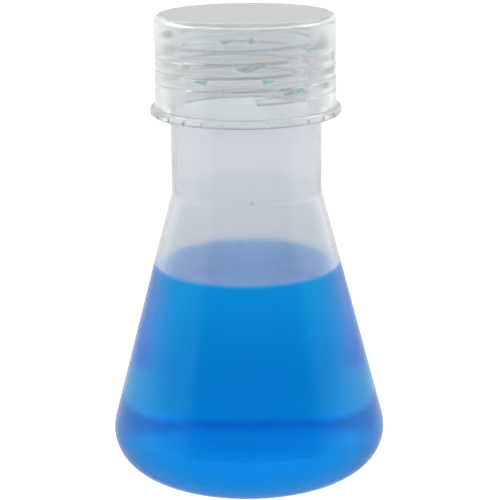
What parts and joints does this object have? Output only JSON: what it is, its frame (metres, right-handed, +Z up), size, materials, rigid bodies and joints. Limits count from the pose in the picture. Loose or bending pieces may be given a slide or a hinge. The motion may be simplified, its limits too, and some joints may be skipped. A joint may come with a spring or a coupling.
{
  "type": "erlenmeyer flask",
  "caption": "Conical wide-neck laboratory flask in translucent plastic with a screw cap, sealing liner and blue liquid contents.",
  "frame": {"origin": "centre of the base, on the plane that the flask stands on", "axes": "+Z up along the flask's axis, -Y towards the front, where the thread starts"},
  "size_m": [0.067, 0.067, 0.1117],
  "materials": {
    "flask_plastic": "satin",
    "cap_plastic": "satin",
    "liner_foam": "matte",
    "blue_liquid": "gloss"
  },
  "bodies": {
    "flask": {"flask_body": "flask_plastic", "blue_solution": "blue_liquid"},
    "liner": {"cap_liner": "liner_foam"},
    "cap": {"screw_cap": "cap_plastic"}
  },
  "joints": [
    {"name": "cap_rise", "type": "slide", "parent": "flask", "child": "liner", "axis": [0, 0, 1], "range_m": [0, 0.0279]},
    {"name": "cap_turn", "type": "hinge", "parent": "liner", "child": "cap", "pos_m": [0, 0, 0.1], "axis": [0, 0, 1], "range_deg": [0, 3240]}
  ],
  "couplings": [
    {"joint": "cap_rise", "follows": "cap_turn", "m_per_rad": 0.00049338}
  ]
}
